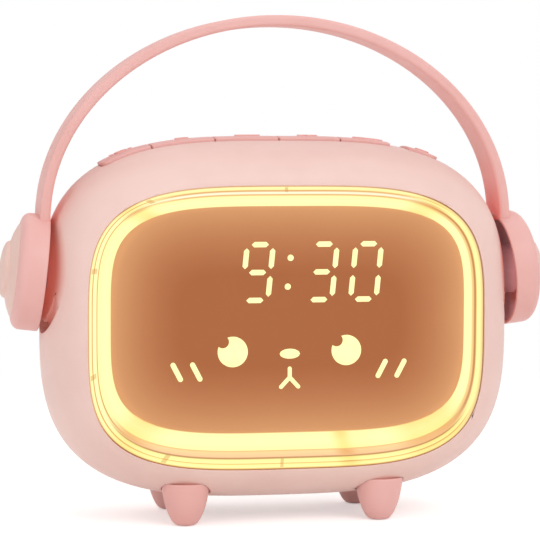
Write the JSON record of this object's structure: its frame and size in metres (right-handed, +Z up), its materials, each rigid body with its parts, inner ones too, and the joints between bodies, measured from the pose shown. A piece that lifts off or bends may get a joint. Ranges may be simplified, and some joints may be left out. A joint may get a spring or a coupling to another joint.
{
  "type": "alarm clock with night light",
  "caption": "Rounded bedside alarm clock on short feet, with a lit display and night-light ring, a row of top keys, and a swinging arch handle that ends in round ear cups.",
  "frame": {"origin": "on the table, under the middle of the bounding box", "axes": "+X to the right as seen from the front, +Y to the back (the display faces -Y), +Z up"},
  "size_m": [0.1672, 0.051, 0.1515],
  "materials": {
    "housing": "fine satin, pale pink",
    "trim": "satin, deeper pink",
    "cap": "satin, beige pink",
    "light_ring": "translucent, lit warm yellow",
    "window": "gloss, warm brown",
    "lights": "translucent, lit pale yellow",
    "board": "green solder mask",
    "frame": "plain white",
    "screws": "zinc-plated",
    "socket": "plain",
    "black": "black",
    "cone": "pressed paper",
    "magnet": "ferrite",
    "soft": "matt",
    "battery": "film wrap"
  },
  "bodies": {
    "housing": {"front_shell": "housing", "rear_cover": "housing", "light_ring": "light_ring", "display_window": "window", "segment_lights": "lights", "display_board": "board", "ring_board": "board", "ring_leds": "lights", "inner_frame": "frame", "frame_screws": "screws", "circuit_board": "board", "board_chips": "black", "coin_holder": "black", "coin_cell": "socket", "key_frame": "frame", "key_board": "board", "tact_switches": "black", "speaker_gasket": "soft", "speaker_frame": "socket", "speaker_cone": "cone", "speaker_magnet": "magnet", "battery_pack": "battery", "battery_clip": "frame", "clip_screws": "screws", "usb_board": "board", "usb_socket": "socket", "cover_screws": "screws", "foot_front_left": "trim", "foot_front_right": "trim", "foot_rear_left": "trim", "foot_rear_right": "trim", "foot_screws": "screws", "friction_washers": "soft"},
    "handle": {"handle_band": "trim", "ear_cup_left": "trim", "ear_cup_right": "trim", "ear_cap_left": "cap", "ear_cap_right": "cap", "pivot_washers": "screws", "pivot_screws": "screws"},
    "button_light": {"key_light": "trim"},
    "button_mode": {"key_mode": "trim"},
    "button_down": {"key_down": "trim"},
    "button_up": {"key_up": "trim"},
    "button_snooze": {"key_snooze": "trim"},
    "button_power": {"key_power": "trim"}
  },
  "joints": [
    {"name": "handle_swing", "type": "hinge", "parent": "housing", "child": "handle", "pos_m": [0, -0.0012, 0.0746], "axis": [1, 0, 0], "range_deg": [-90, 90]},
    {"name": "light_press", "type": "slide", "parent": "housing", "child": "button_light", "axis": [0.3342, 0, -0.9425], "range_m": [0, 0.0007], "stiffness_N_per_m": 800, "springref_m": -0.001},
    {"name": "mode_press", "type": "slide", "parent": "housing", "child": "button_mode", "axis": [0.1091, 0, -0.994], "range_m": [0, 0.0007], "stiffness_N_per_m": 800, "springref_m": -0.001},
    {"name": "down_press", "type": "slide", "parent": "housing", "child": "button_down", "axis": [0.0094, 0, -1], "range_m": [0, 0.0007], "stiffness_N_per_m": 800, "springref_m": -0.001},
    {"name": "up_press", "type": "slide", "parent": "housing", "child": "button_up", "axis": [-0.0093, 0, -1], "range_m": [0, 0.0007], "stiffness_N_per_m": 800, "springref_m": -0.001},
    {"name": "snooze_press", "type": "slide", "parent": "housing", "child": "button_snooze", "axis": [-0.0924, 0, -0.9957], "range_m": [0, 0.0007], "stiffness_N_per_m": 800, "springref_m": -0.001},
    {"name": "power_press", "type": "slide", "parent": "housing", "child": "button_power", "axis": [-0.3162, 0, -0.9487], "range_m": [0, 0.0007], "stiffness_N_per_m": 800, "springref_m": -0.001}
  ]
}
